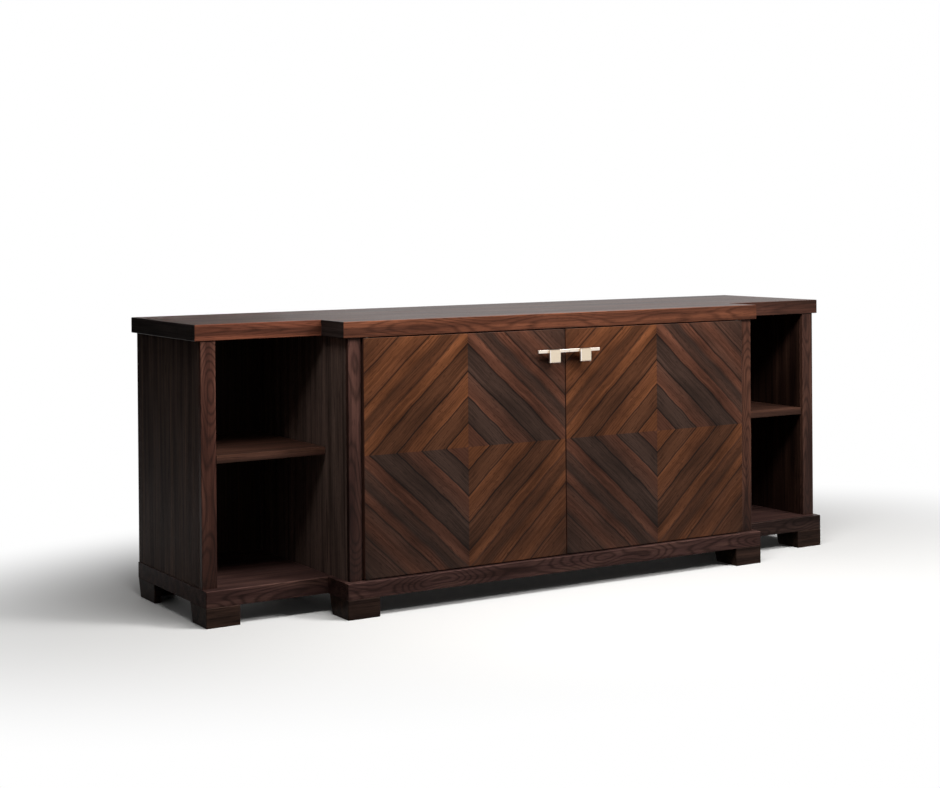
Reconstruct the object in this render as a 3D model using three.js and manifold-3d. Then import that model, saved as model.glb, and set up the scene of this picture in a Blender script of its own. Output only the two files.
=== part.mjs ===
// Breakfront office credenza: a two-door cabinet between two open shelf wings,
// on a plinth panel with block and bracket feet. Millimetres, +Z up, front towards -Y.
import * as THREE from 'three';
import { mergeVertices } from 'three/addons/utils/BufferGeometryUtils.js';
import Module from 'manifold-3d';

const wasm = await Module();
wasm.setup();

// Overall form
const overallHeight = 762;
const overallWidth = 2078;
const centreWidth = 1370;
const wingDepth = 445;
const centreStep = 127;

// Top and its solid edge lippings
const topThickness = 41.5;
const lippingDepth = 10;
const endOverhang = 16;
const returnOverhang = 16;
const wingSetback = 3.5;
const doorSetback = 8;

// Base panel and feet
const baseThickness = 42.5;
const baseEndReach = 2.5;
const wingBaseReach = 30;
const centreBaseReach = 21.5;
const baseLippingDepth = 14;
const footHeight = 51;
const footWidth = 93;
const footDepth = 106;
const footRearTaper = 15;
const rearFootDepth = 118;
const rearFootBoard = 20;

// Upright panels with solid front stiles
const endPanelThickness = 41;
const partitionThickness = 37;
const stileDepth = 14;
const dividerThickness = 20;
const dividerSetback = 26;

// Back panels, let into grooves
const backThickness = 6;
const backInset = 12;
const grooveDepth = 8;
const grooveGap = 0.3;

// Shelves on concealed wires
const shelfThickness = 20;
const shelfHeight = 428;
const wingShelfSetback = 5;
const shelfEndGap = 3;
const shelfRearGap = 2;
const wireDiameter = 3;
const wireEmbed = 10;
const wireReach = 5;
const wireMargin = 60;
const kerfDepth = 9;
const kerfFrontStop = 40;
const wireGap = 0.3;

// Doors
const doorThickness = 22;
const doorHingeGap = 4;
const doorMeetingGap = 3;
const doorTopGap = 2.5;
const doorBottomGap = 2.5;

// Pivot hinges, let into the door ends and into the top and base
const pivotFromEdge = 13;
const pivotFromFace = 9;
const leafLength = 55;
const leafWidth = 12;
const leafThickness = 3;
const leafGap = 0.3;
const bossRadius = 4.6;
const pinRadius = 2.5;
const pinLength = 6;
const pinGap = 0.35;
const pinWellDepth = 4;
const pinSides = 24;

// Pulls: a bar on two posts with a square tab in front
const pullBarLength = 101;
const pullMeetingGap = 1;
const pullBarHeight = 8.2;
const pullBarDepth = 8;
const pullBarReach = 20.5;
const pullBarDrop = 54.3;
const postRadius = 4;
const postSpacing = 64;
const tabWidth = 35.5;
const tabHeight = 35.2;
const tabThickness = 8;
const tabBevel = 2;
const tabBond = 1;

// Magnetic catches behind the doors
const catchWidth = 40;
const catchDepth = 16;
const catchHeight = 14;
const catchFromCentre = 18;
const strikeWidth = 36;
const strikeHeight = 11;
const strikeThickness = 2;
const strikeGap = 0.3;

// Planes and lines that the pieces share
const topUnder = overallHeight - topThickness;
const baseTop = footHeight + baseThickness;
const halfWidth = overallWidth / 2;
const halfCentre = centreWidth / 2;
const rear = wingDepth;
const centreFront = -centreStep;
const endOuter = halfWidth - endOverhang;
const endInner = endOuter - endPanelThickness;
const partitionOuter = halfCentre - returnOverhang;
const partitionInner = partitionOuter - partitionThickness;
const wingFace = wingSetback;
const doorStileFace = centreFront + doorSetback;
const doorFace = centreFront;
const doorBack = doorFace + doorThickness;
const backFace = rear - backInset - backThickness;
const baseEnd = endOuter + baseEndReach;
const baseWingFront = wingFace - wingBaseReach;
const baseCentreFront = doorStileFace - centreBaseReach;
const dividerFront = doorBack + dividerSetback;
const doorOuter = partitionInner - doorHingeGap;
const doorInner = doorMeetingGap / 2;
const doorBottom = baseTop + doorBottomGap;
const doorTop = topUnder - doorTopGap;
const pivotX = doorOuter - pivotFromEdge;
const pivotY = doorFace + pivotFromFace;
const pullTop = doorTop - pullBarDrop;
const pullX = (pullMeetingGap + pullBarLength) / 2;
const barFront = doorFace - pullBarReach;
const tabFront = barFront - tabThickness;

const finishes = {
  darkWalnut: { color: 0x4a2f24, roughness: 0.35, metalness: 0 },
  edgeWalnut: { color: 0x63392a, roughness: 0.32, metalness: 0 },
  doorVeneer: { color: 0x58361f, roughness: 0.3, metalness: 0 },
  innerWalnut: { color: 0x33231c, roughness: 0.5, metalness: 0 },
  backBoard: { color: 0x2c201a, roughness: 0.6, metalness: 0 },
  satinNickel: { color: 0xdccbb4, roughness: 0.28, metalness: 1 },
  steel: { color: 0x9a9a98, roughness: 0.35, metalness: 1 },
  catchPlastic: { color: 0x3a2a22, roughness: 0.5, metalness: 0 },
};
const materials = Object.fromEntries(
  Object.entries(finishes).map(([name, look]) => [name, new THREE.MeshStandardMaterial(look)]),
);

const model = new THREE.Group();

function place(name, geometry, finish) {
  const mesh = new THREE.Mesh(geometry, materials[finish]);
  mesh.name = name;
  model.add(mesh);
}

// Booleans on closed geometries
function solid(geometry) {
  const bare = geometry.index ? geometry.toNonIndexed() : geometry.clone();
  bare.deleteAttribute('normal');
  bare.deleteAttribute('uv');
  const merged = mergeVertices(bare, 1e-4);
  const vertProperties = new Float32Array(merged.attributes.position.array);
  const triVerts = new Uint32Array(merged.index.array);
  return new wasm.Manifold(new wasm.Mesh({ numProp: 3, vertProperties, triVerts }));
}

function fromSolid(body) {
  const mesh = body.getMesh();
  const geometry = new THREE.BufferGeometry();
  geometry.setAttribute('position', new THREE.BufferAttribute(new Float32Array(mesh.vertProperties), 3));
  geometry.setIndex(new THREE.BufferAttribute(new Uint32Array(mesh.triVerts), 1));
  geometry.computeVertexNormals();
  return geometry;
}

function cut(geometry, cutters) {
  return fromSolid(cutters.reduce((body, cutter) => body.subtract(solid(cutter)), solid(geometry)));
}

function join(geometries) {
  return fromSolid(geometries.slice(1).reduce((body, next) => body.add(solid(next)), solid(geometries[0])));
}

// A block between two corners given per axis as [low, high]
function block([x0, x1], [y0, y1], [z0, z1]) {
  const geometry = new THREE.BoxGeometry(x1 - x0, y1 - y0, z1 - z0);
  return geometry.translate((x0 + x1) / 2, (y0 + y1) / 2, (z0 + z1) / 2);
}

// A plan outline raised from one height to another
function slab(points, [z0, z1]) {
  const shape = new THREE.Shape(points.map(([x, y]) => new THREE.Vector2(x, y)));
  const geometry = new THREE.ExtrudeGeometry(shape, { depth: z1 - z0, bevelEnabled: false });
  return geometry.translate(0, 0, z0);
}

// A round bar between two points
function roundBar(start, end, radius, sides) {
  const from = new THREE.Vector3(...start);
  const to = new THREE.Vector3(...end);
  const run = to.clone().sub(from);
  const geometry = new THREE.CylinderGeometry(radius, radius, run.length(), sides);
  const turn = new THREE.Quaternion().setFromUnitVectors(new THREE.Vector3(0, 1, 0), run.clone().normalize());
  geometry.applyQuaternion(turn);
  const middle = from.add(to).multiplyScalar(0.5);
  return geometry.translate(middle.x, middle.y, middle.z);
}

// The two hands of the cabinet: side -1 is left, side +1 is right
const hands = [
  { hand: 'left', side: -1 },
  { hand: 'right', side: 1 },
];
const span = (side, near, far) => (side < 0 ? [-far, -near] : [near, far]);

// Hinge leaf outline: straight tail towards the middle, round eye at the pivot
function leafShape(side, gap) {
  const radius = leafWidth / 2 + gap;
  const tail = -side * (leafLength - leafWidth / 2 + gap);
  const shape = new THREE.Shape();
  shape.moveTo(0, -side * radius);
  shape.lineTo(tail, -side * radius);
  shape.lineTo(tail, side * radius);
  shape.lineTo(0, side * radius);
  shape.absarc(0, 0, radius, side * Math.PI / 2, -side * Math.PI / 2, true);
  return shape;
}

function leafPlate(side, [z0, z1], gap) {
  const settings = { depth: z1 - z0, bevelEnabled: false, curveSegments: 12 };
  const geometry = new THREE.ExtrudeGeometry(leafShape(side, gap), settings);
  return geometry.translate(side * pivotX, pivotY, z0);
}

// Heights of the two hinges of a door: frame leaf, door leaf and the pin's direction
const hingeLevels = [
  { level: 'upper', frameSeat: topUnder, doorSeat: doorTop, into: 1, gapHeight: doorTopGap },
  { level: 'lower', frameSeat: baseTop, doorSeat: doorBottom, into: -1, gapHeight: doorBottomGap },
];
const ordered = (a, b) => (a < b ? [a, b] : [b, a]);

function framePocket(side, { frameSeat, into }) {
  const floor = frameSeat + into * (leafThickness + leafGap);
  return leafPlate(side, ordered(frameSeat - into * leafGap, floor), leafGap);
}

function doorPocket(side, { doorSeat, into }) {
  const floor = doorSeat - into * (leafThickness + leafGap);
  return leafPlate(side, ordered(doorSeat + into * leafGap, floor), leafGap);
}

function pinWell(side, { doorSeat, into }) {
  const mouth = doorSeat + into * leafGap;
  const floor = doorSeat - into * (leafThickness + pinWellDepth);
  const x = side * pivotX;
  return roundBar([x, pivotY, mouth], [x, pivotY, floor], pinRadius + pinGap, pinSides);
}

function addHinge(hand, side, hinge) {
  const { level, frameSeat, doorSeat, into, gapHeight } = hinge;
  const plate = leafPlate(side, ordered(frameSeat, frameSeat + into * leafThickness), 0);
  const bossEnd = frameSeat - into * (gapHeight - leafGap);
  const pinEnd = bossEnd - into * pinLength;
  const root = frameSeat + into * leafThickness / 2;
  const x = side * pivotX;
  const boss = roundBar([x, pivotY, root], [x, pivotY, bossEnd], bossRadius, pinSides);
  const pin = roundBar([x, pivotY, root], [x, pivotY, pinEnd], pinRadius, pinSides);
  place(`${hand}_${level}_hinge_frame_leaf`, join([plate, boss, pin]), 'steel');
  const doorLeaf = leafPlate(side, ordered(doorSeat, doorSeat - into * leafThickness), 0);
  place(`${hand}_${level}_hinge_door_leaf`, cut(doorLeaf, [pinWell(side, hinge)]), 'steel');
}

// Shelf bays: clear width between two upright faces, and the shelf's front line
const wingShelfFront = wingFace + wingShelfSetback;
const bays = hands.flatMap(({ hand, side }) => [
  { bay: `${hand}_wing`, side, near: partitionOuter, far: endInner, front: wingShelfFront },
  { bay: `${hand}_centre`, side, near: dividerThickness / 2, far: partitionInner, front: dividerFront },
]);
const shelfRear = backFace - shelfRearGap;
const wireZ = shelfHeight - shelfThickness / 2;
const wireHole = wireDiameter / 2 + wireGap;
const wireSides = 10;

// A wire stands off one upright face; outward is the direction into that upright
function wireLine({ front }, faceX, outward) {
  const runX = faceX - outward * (shelfEndGap + wireReach);
  const tipX = faceX + outward * wireEmbed;
  return { runX, tipX, legYs: [front + wireMargin, shelfRear - wireMargin] };
}

function wireGeometry(bay, faceX, outward) {
  const { runX, tipX, legYs } = wireLine(bay, faceX, outward);
  const radius = wireDiameter / 2;
  const run = roundBar([runX, legYs[0] - radius, wireZ], [runX, legYs[1] + radius, wireZ], radius, wireSides);
  const legs = legYs.map((y) => roundBar([runX, y, wireZ], [tipX, y, wireZ], radius, wireSides));
  return join([run, ...legs]);
}

function wireHoles(bay, faceX, outward) {
  const { tipX, legYs } = wireLine(bay, faceX, outward);
  const bottom = tipX + outward * wireGap;
  const mouth = faceX - outward * wireGap;
  return legYs.map((y) => roundBar([mouth, y, wireZ], [bottom, y, wireZ], wireHole, wireSides));
}

// Faces that carry a shelf end, with the holes they need
const shelfEnds = bays.flatMap((bay) => [
  { bay, end: 'inner', faceX: bay.side * bay.near, outward: -bay.side },
  { bay, end: 'outer', faceX: bay.side * bay.far, outward: bay.side },
]);
const holesBetween = ([x0, x1]) => shelfEnds
  .filter(({ faceX }) => faceX >= x0 && faceX <= x1)
  .flatMap(({ bay, faceX, outward }) => wireHoles(bay, faceX, outward));

// Top: veneered panel with mitred solid lippings on every edge but the rear
function addTop() {
  const inset = lippingDepth;
  const levels = [topUnder, overallHeight];
  const outer = [[halfCentre, centreFront], [halfCentre, 0], [halfWidth, 0], [halfWidth, rear]];
  const inner = [
    [halfCentre - inset, centreFront + inset],
    [halfCentre - inset, inset],
    [halfWidth - inset, inset],
    [halfWidth - inset, rear],
  ];
  const mirrored = inner.map(([x, y]) => [-x, y]).reverse();
  const pockets = hands.map(({ side }) => framePocket(side, hingeLevels[0]));
  place('top_panel', cut(slab([...inner, ...mirrored], levels), pockets), 'darkWalnut');
  const centre = [[-outer[0][0], outer[0][1]], outer[0], inner[0], [-inner[0][0], inner[0][1]]];
  place('top_centre_lipping', cut(slab(centre, levels), pockets), 'edgeWalnut');
  hands.forEach(({ hand, side }) => {
    ['return', 'wing', 'end'].forEach((edge, i) => {
      const corners = [outer[i], outer[i + 1], inner[i + 1], inner[i]];
      const points = corners.map(([x, y]) => [side * x, y]);
      place(`top_${hand}_${edge}_lipping`, slab(points, levels), 'edgeWalnut');
    });
  });
}

// Base: breakfront plinth panel, wider than the uprights at the front, with solid front lippings
function addBase() {
  const levels = [footHeight, baseTop];
  const lipBack = baseCentreFront + baseLippingDepth;
  const wingLipBack = baseWingFront + baseLippingDepth;
  const half = [[halfCentre, lipBack], [halfCentre, wingLipBack], [baseEnd, wingLipBack], [baseEnd, rear]];
  const mirrored = half.map(([x, y]) => [-x, y]).reverse();
  const pockets = hands.map(({ side }) => framePocket(side, hingeLevels[1]));
  place('base_panel', cut(slab([...half, ...mirrored], levels), pockets), 'darkWalnut');
  const centreLip = block([-halfCentre, halfCentre], [baseCentreFront, lipBack], levels);
  place('base_centre_lipping', cut(centreLip, pockets), 'edgeWalnut');
  hands.forEach(({ hand, side }) => {
    const wingLip = block(span(side, halfCentre, baseEnd), [baseWingFront, wingLipBack], levels);
    place(`base_${hand}_wing_lipping`, wingLip, 'edgeWalnut');
  });
}

// A rear foot is a bracket: a board along the side and a board along the rear
function rearFootHollow(side, outer, front) {
  const reach = rearFootDepth - footRearTaper - rearFootBoard;
  const inner = outer - footWidth;
  return block(
    span(side, inner - rearFootBoard, outer - rearFootBoard),
    [front - rearFootBoard, front + reach],
    [-footHeight, 2 * footHeight],
  );
}

// Feet stand flush with the base's front and outer faces, and their rear faces lean in
function addFeet() {
  const stations = [
    { spot: 'end_front', outer: baseEnd, front: baseWingFront, depth: footDepth },
    { spot: 'end_rear', outer: baseEnd, front: rear - rearFootDepth, depth: rearFootDepth },
    { spot: 'centre_front', outer: halfCentre, front: baseCentreFront, depth: footDepth },
    { spot: 'centre_rear', outer: halfCentre, front: rear - rearFootDepth, depth: rearFootDepth },
  ];
  hands.forEach(({ hand, side }) => stations.forEach(({ spot, outer, front, depth }) => {
    const profile = new THREE.Shape([
      new THREE.Vector2(0, 0),
      new THREE.Vector2(depth - footRearTaper, 0),
      new THREE.Vector2(depth, footHeight),
      new THREE.Vector2(0, footHeight),
    ]);
    const blank = new THREE.ExtrudeGeometry(profile, { depth: footWidth, bevelEnabled: false });
    blank.applyMatrix4(new THREE.Matrix4().set(0, 0, 1, 0, 1, 0, 0, 0, 0, 1, 0, 0, 0, 0, 0, 1));
    blank.translate(side < 0 ? -outer : outer - footWidth, front, 0);
    const foot = spot.endsWith('rear') ? cut(blank, [rearFootHollow(side, outer, front)]) : blank;
    place(`${hand}_${spot}_foot`, foot, 'edgeWalnut');
  }));
}

// Uprights: plan outlines with the back grooves in them, bored for the shelf wires
const grooveFront = backFace - grooveGap;
const grooveRear = rear - backInset + grooveGap;
const uprightLevels = [baseTop, topUnder];

// Plan outline of an upright between inner and outer faces; grooved lists the faces with a back groove
function uprightOutline(inner, outer, front, grooved) {
  const notch = (x, depth) => [
    [x, grooveFront],
    [x + depth, grooveFront],
    [x + depth, grooveRear],
    [x, grooveRear],
  ];
  const outerNotch = grooved.includes('outer') ? notch(outer, -grooveDepth) : [];
  const innerNotch = grooved.includes('inner') ? notch(inner, grooveDepth).reverse() : [];
  return [[inner, front], [outer, front], ...outerNotch, [outer, rear], [inner, rear], ...innerNotch];
}

function addUprights() {
  const kinds = [
    { kind: 'end', inner: endInner, outer: endOuter, face: wingFace, grooved: ['inner'] },
    {
      kind: 'door',
      inner: partitionInner,
      outer: partitionOuter,
      face: doorStileFace,
      grooved: ['inner', 'outer'],
    },
  ];
  const panelNames = { end: 'end_panel', door: 'partition' };
  hands.forEach(({ hand, side }) => kinds.forEach(({ kind, inner, outer, face, grooved }) => {
    const outline = uprightOutline(inner, outer, face + stileDepth, grooved).map(([x, y]) => [side * x, y]);
    const panel = cut(slab(outline, uprightLevels), holesBetween(span(side, inner, outer)));
    place(`${hand}_${panelNames[kind]}`, panel, 'darkWalnut');
    const stile = block(span(side, inner, outer), [face, face + stileDepth], uprightLevels);
    place(`${hand}_${kind}_stile`, stile, 'edgeWalnut');
  }));
  const dividerX = [-dividerThickness / 2, dividerThickness / 2];
  const divider = block(dividerX, [dividerFront, backFace], uprightLevels);
  place('centre_divider', cut(divider, holesBetween(dividerX)), 'innerWalnut');
}

function addBacks() {
  const tongue = grooveDepth - grooveGap;
  const levels = [backFace, backFace + backThickness];
  hands.forEach(({ hand, side }) => {
    const width = span(side, partitionOuter - tongue, endInner + tongue);
    place(`${hand}_wing_back`, block(width, levels, uprightLevels), 'backBoard');
  });
  const centreHalf = partitionInner + tongue;
  place('centre_back', block([-centreHalf, centreHalf], levels, uprightLevels), 'backBoard');
}

// Shelves: kerfed at both ends for the wires, stopped short of the front edge
function addShelves() {
  bays.forEach((bay) => {
    const { side, near, far, front } = bay;
    const width = span(side, near + shelfEndGap, far - shelfEndGap);
    const kerfZ = [wireZ - wireDiameter / 2 - wireGap, wireZ + wireDiameter / 2 + wireGap];
    const kerfY = [front + kerfFrontStop, shelfRear + wireGap];
    const kerfs = [
      block([width[0] - wireGap, width[0] + kerfDepth], kerfY, kerfZ),
      block([width[1] - kerfDepth, width[1] + wireGap], kerfY, kerfZ),
    ];
    const board = block(width, [front, shelfRear], [shelfHeight - shelfThickness, shelfHeight]);
    place(`${bay.bay}_shelf`, cut(board, kerfs), 'innerWalnut');
  });
  shelfEnds.forEach(({ bay, end, faceX, outward }) => {
    place(`${bay.bay}_shelf_${end}_wire`, wireGeometry(bay, faceX, outward), 'steel');
  });
}

// Pull: bar on two posts, square tab with bevelled edges hung in front of it
function pullGeometry(side) {
  const x = side * pullX;
  const barX = [x - pullBarLength / 2, x + pullBarLength / 2];
  const bar = block(barX, [barFront, barFront + pullBarDepth], [pullTop - pullBarHeight, pullTop]);
  const postZ = pullTop - pullBarHeight / 2;
  const posts = [-postSpacing / 2, postSpacing / 2].map((offset) => roundBar(
    [x + offset, doorFace, postZ],
    [x + offset, barFront + pullBarDepth / 2, postZ],
    postRadius,
    16,
  ));
  const flat = tabWidth / 2 - tabBevel;
  const face = new THREE.Shape([
    new THREE.Vector2(-flat, tabBevel - tabHeight),
    new THREE.Vector2(flat, tabBevel - tabHeight),
    new THREE.Vector2(flat, tabBevel),
    new THREE.Vector2(-flat, tabBevel),
  ]);
  const bevelled = new THREE.ExtrudeGeometry(face, {
    depth: tabThickness + tabBond - 2 * tabBevel,
    bevelThickness: tabBevel,
    bevelSize: tabBevel,
    bevelSegments: 1,
  });
  bevelled.translate(0, 0, tabBevel);
  bevelled.rotateX(Math.PI / 2);
  bevelled.translate(x, barFront + tabBond, pullTop);
  // The bevel runs round three edges; the tab's top is sawn off flush with the bar
  const aboveX = [x - tabWidth, x + tabWidth];
  const above = block(aboveX, [tabFront - tabBevel, barFront + tabThickness], [pullTop, pullTop + tabHeight]);
  const tab = cut(bevelled, [above]);
  return join([bar, ...posts, tab]);
}

function addDoors() {
  hands.forEach(({ hand, side }) => {
    const leaf = block(span(side, doorInner, doorOuter), [doorFace, doorBack], [doorBottom, doorTop]);
    const cuts = hingeLevels.flatMap((hinge) => [doorPocket(side, hinge), pinWell(side, hinge)]);
    place(`${hand}_door_panel`, cut(leaf, cuts), 'doorVeneer');
    place(`${hand}_pull`, pullGeometry(side), 'satinNickel');
    hingeLevels.forEach((hinge) => addHinge(hand, side, hinge));
    const catchX = span(side, catchFromCentre, catchFromCentre + catchWidth);
    const catchFront = doorBack + strikeThickness + strikeGap;
    const catchZ = [topUnder - catchHeight, topUnder];
    place(`${hand}_catch`, block(catchX, [catchFront, catchFront + catchDepth], catchZ), 'catchPlastic');
    const strikeMiddle = catchFromCentre + catchWidth / 2;
    const strikeX = span(side, strikeMiddle - strikeWidth / 2, strikeMiddle + strikeWidth / 2);
    const strikeBase = topUnder - catchHeight / 2 - strikeHeight / 2;
    const strikeZ = [strikeBase, strikeBase + strikeHeight];
    place(`${hand}_strike_plate`, block(strikeX, [doorBack, doorBack + strikeThickness], strikeZ), 'steel');
  });
}

addTop();
addBase();
addFeet();
addUprights();
addBacks();
addShelves();
addDoors();

// Origin on the floor, in the middle of the whole footprint
model.position.y = -(tabFront + rear) / 2;

export default model;
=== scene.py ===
import math

import bmesh
import bpy
import numpy as np
from mathutils import Matrix, Vector


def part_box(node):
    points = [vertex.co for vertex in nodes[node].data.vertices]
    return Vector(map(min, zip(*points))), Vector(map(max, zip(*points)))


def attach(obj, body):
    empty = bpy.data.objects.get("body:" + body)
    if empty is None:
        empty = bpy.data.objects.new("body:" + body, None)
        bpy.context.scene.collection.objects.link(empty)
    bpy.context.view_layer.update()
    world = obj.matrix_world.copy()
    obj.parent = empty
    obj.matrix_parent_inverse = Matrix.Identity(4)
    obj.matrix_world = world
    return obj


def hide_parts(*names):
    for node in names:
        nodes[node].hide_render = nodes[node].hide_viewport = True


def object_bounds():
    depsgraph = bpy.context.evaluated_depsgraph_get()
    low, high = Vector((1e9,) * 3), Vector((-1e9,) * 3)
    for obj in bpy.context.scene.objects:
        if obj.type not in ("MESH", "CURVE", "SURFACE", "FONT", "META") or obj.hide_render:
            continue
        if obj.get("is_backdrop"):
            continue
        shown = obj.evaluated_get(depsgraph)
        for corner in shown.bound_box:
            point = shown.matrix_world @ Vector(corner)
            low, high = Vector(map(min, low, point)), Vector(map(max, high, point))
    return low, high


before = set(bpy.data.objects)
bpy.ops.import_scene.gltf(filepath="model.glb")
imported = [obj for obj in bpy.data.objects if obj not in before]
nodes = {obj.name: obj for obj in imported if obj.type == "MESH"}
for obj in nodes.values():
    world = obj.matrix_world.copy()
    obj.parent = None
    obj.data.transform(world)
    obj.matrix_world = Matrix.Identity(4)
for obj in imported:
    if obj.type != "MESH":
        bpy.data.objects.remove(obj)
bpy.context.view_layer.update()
mm = 0.001
hands = {"left": -1, "right": 1}
print("frame loaded:", len(nodes), "nodes")


def corners(node):
    low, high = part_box(node)
    return np.array(low), np.array(high)


def linear(hexText, alpha=1.0):  # sRGB hex to linear, the usual two-part curve
    srgb = np.array([int(hexText[i:i + 2], 16) for i in (1, 3, 5)]) / 255
    rgb = np.where(srgb <= 0.04045, srgb / 12.92, ((srgb + 0.055) / 1.055) ** 2.4)
    return (*rgb.tolist(), alpha)


def addNode(tree, kind, props=None, values=None, links=None):
    node = tree.nodes.new(kind)
    for name, value in (props or {}).items():
        setattr(node, name, value)
    for socket, value in (values or {}).items():
        node.inputs[socket].default_value = value
    for socket, source in (links or {}).items():
        tree.links.new(source, node.inputs[socket])
    return node


# Sockets of a Mix node set to colours, by number because their names repeat
mixShare = 0
mixFirst = 6
mixSecond = 7
mixResult = 2


def newMaterial(name):
    material = bpy.data.materials.new(name)
    material.use_nodes = True
    material.node_tree.nodes.clear()
    return material, material.node_tree


# Camera: where the photograph was taken from, with a small downward lens shift
cameraSet = {"place": (-2.7432, -4.2679, 1.0225), "yaw": 31.39, "pitch": 0.522, "roll": -0.452,
             "lens": 67.32, "shiftY": -0.1691}


def makeCamera(s):
    yaw, pitch, roll = np.radians([s["yaw"], s["pitch"], s["roll"]])
    ahead = np.array([math.sin(yaw) * math.cos(pitch), math.cos(yaw) * math.cos(pitch), -math.sin(pitch)])
    level = np.array([math.cos(yaw), -math.sin(yaw), 0.0])
    above = np.cross(level, ahead)
    right = level * math.cos(roll) + above * math.sin(roll)
    up = above * math.cos(roll) - level * math.sin(roll)
    data = bpy.data.cameras.new("camera")
    data.lens = s["lens"]
    data.shift_y = s["shiftY"]
    camera = bpy.data.objects.new("camera", data)
    turn = np.eye(4)
    turn[:3] = np.column_stack([right, up, -ahead, s["place"]])
    camera.matrix_world = Matrix(turn.tolist())
    bpy.context.scene.collection.objects.link(camera)
    bpy.context.scene.camera = camera


makeCamera(cameraSet)
print("camera set")

# Light: a soft key from the upper right, a strip overhead in front, a low lamp behind for the back
# panels, and a dim surround that looks white
lightSet = {"key": {"place": (2.5, -3.3, 3.2), "aim": (0, 0, 0.4), "size": (1.0, 1.0), "power": 104},
            "strip": {"place": (-0.1, -1.05, 1.8), "aim": (0, -0.2, 0.4), "size": (2.6, 0.4), "power": 36},
            "rear": {"place": (0.2, 4.2, 0.5), "aim": (0, 0, 0.4), "size": (2.2, 0.8), "power": 55},
            "surround": "#ffffff", "ambient": 0.085, "background": 1.0}


def makeLamp(name, s):
    data = bpy.data.lights.new(name, "AREA")
    data.shape = "RECTANGLE"
    data.size, data.size_y = s["size"]
    data.energy = s["power"]
    lamp = bpy.data.objects.new(name, data)
    lamp.location = s["place"]
    lamp.rotation_euler = (Vector(s["aim"]) - Vector(s["place"])).to_track_quat("-Z", "Y").to_euler()
    lamp.visible_camera = False
    bpy.context.scene.collection.objects.link(lamp)


def shownRay(tree):  # 1 for rays that show the picture: seen straight, mirrored or through glass
    path = addNode(tree, "ShaderNodeLightPath")
    seen = addNode(tree, "ShaderNodeMath", {"operation": "MAXIMUM"},
                   links={0: path.outputs["Is Camera Ray"], 1: path.outputs["Is Glossy Ray"]})
    shown = addNode(tree, "ShaderNodeMath", {"operation": "MAXIMUM"},
                    links={0: seen.outputs[0], 1: path.outputs["Is Transmission Ray"]})
    return shown.outputs[0]


def makeWorld(s):
    world = bpy.data.worlds.new("studio")
    world.use_nodes = True
    tree = world.node_tree
    tree.nodes.clear()
    strength = addNode(tree, "ShaderNodeMapRange",
                       values={"To Min": s["ambient"], "To Max": s["background"]},
                       links={"Value": shownRay(tree)})
    sky = addNode(tree, "ShaderNodeBackground", values={"Color": linear(s["surround"])},
                  links={"Strength": strength.outputs[0]})
    addNode(tree, "ShaderNodeOutputWorld", links={"Surface": sky.outputs[0]})
    bpy.context.scene.world = world


for kind in ("key", "strip", "rear"):
    makeLamp(kind + "Lamp", lightSet[kind])
makeWorld(lightSet)
bpy.context.scene.view_settings.view_transform = "Standard"

# Floor: pale where it is looked at, darker to the bounce light, fading to white away from the piece
floorSet = {"size": 40.0, "pale": "#fbfaf8", "bounce": "#403e3b", "white": "#ffffff",
            "near": 0.62, "far": 1.4, "squeeze": (0.6, 1.0, 1.0)}
# Flags: dark cards beside the left end and behind it, seen only by reflections, which keep that end dark;
# each has the two ends of its lower edge and the height of its upper one
flagSet = {"colour": "#0b0b0b", "low": 0.02,
           "leftFlag": ((-1.7, -0.4), (-1.7, 9.0), 3.0), "rearFlag": ((2.15, 6.0), (-1.7, 6.0), 8.0)}


def plane(name, points, material):
    mesh = bpy.data.meshes.new(name)
    mesh.from_pydata(points, [], [(0, 1, 2, 3)])
    mesh.materials.append(material)
    card = bpy.data.objects.new(name, mesh)
    bpy.context.scene.collection.objects.link(card)
    card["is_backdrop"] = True
    return card


def makeFloor(s):
    material, tree = newMaterial("paleFloor")
    shown = shownRay(tree)
    tone = addNode(tree, "ShaderNodeMix", {"data_type": "RGBA"},
                   {mixFirst: linear(s["bounce"]), mixSecond: linear(s["pale"])}, {mixShare: shown})
    matt = addNode(tree, "ShaderNodeBsdfDiffuse", links={"Color": tone.outputs[mixResult]})
    spot = addNode(tree, "ShaderNodeTexCoord")
    oval = addNode(tree, "ShaderNodeVectorMath", {"operation": "MULTIPLY"}, {1: s["squeeze"]},
                   {0: spot.outputs["Object"]})
    reach = addNode(tree, "ShaderNodeVectorMath", {"operation": "LENGTH"}, links={0: oval.outputs[0]})
    away = addNode(tree, "ShaderNodeMapRange", {"interpolation_type": "SMOOTHSTEP"},
                   {"From Min": s["near"], "From Max": s["far"]}, {"Value": reach.outputs["Value"]})
    fade = addNode(tree, "ShaderNodeMath", {"operation": "MULTIPLY"}, links={0: away.outputs[0], 1: shown})
    white = addNode(tree, "ShaderNodeEmission", values={"Color": linear(s["white"]), "Strength": 1.0})
    both = addNode(tree, "ShaderNodeMixShader",
                   links={0: fade.outputs[0], 1: matt.outputs[0], 2: white.outputs[0]})
    addNode(tree, "ShaderNodeOutputMaterial", links={"Surface": both.outputs[0]})
    half = s["size"] / 2
    plane("floor", [(-half, -half, 0), (half, -half, 0), (half, half, 0), (-half, half, 0)], material)


def makeFlags(s):
    material, tree = newMaterial("darkCard")
    matt = addNode(tree, "ShaderNodeBsdfDiffuse", values={"Color": linear(s["colour"])})
    addNode(tree, "ShaderNodeOutputMaterial", links={"Surface": matt.outputs[0]})
    low = s["low"]
    for name in ("leftFlag", "rearFlag"):
        start, stop, high = s[name]
        flag = plane(name, [(*start, low), (*stop, low), (*stop, high), (*start, high)], material)
        flag.visible_camera = False
        flag.visible_diffuse = False
        flag.visible_shadow = False


makeFloor(floorSet)
makeFlags(flagSet)
print("light and floor set")

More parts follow.
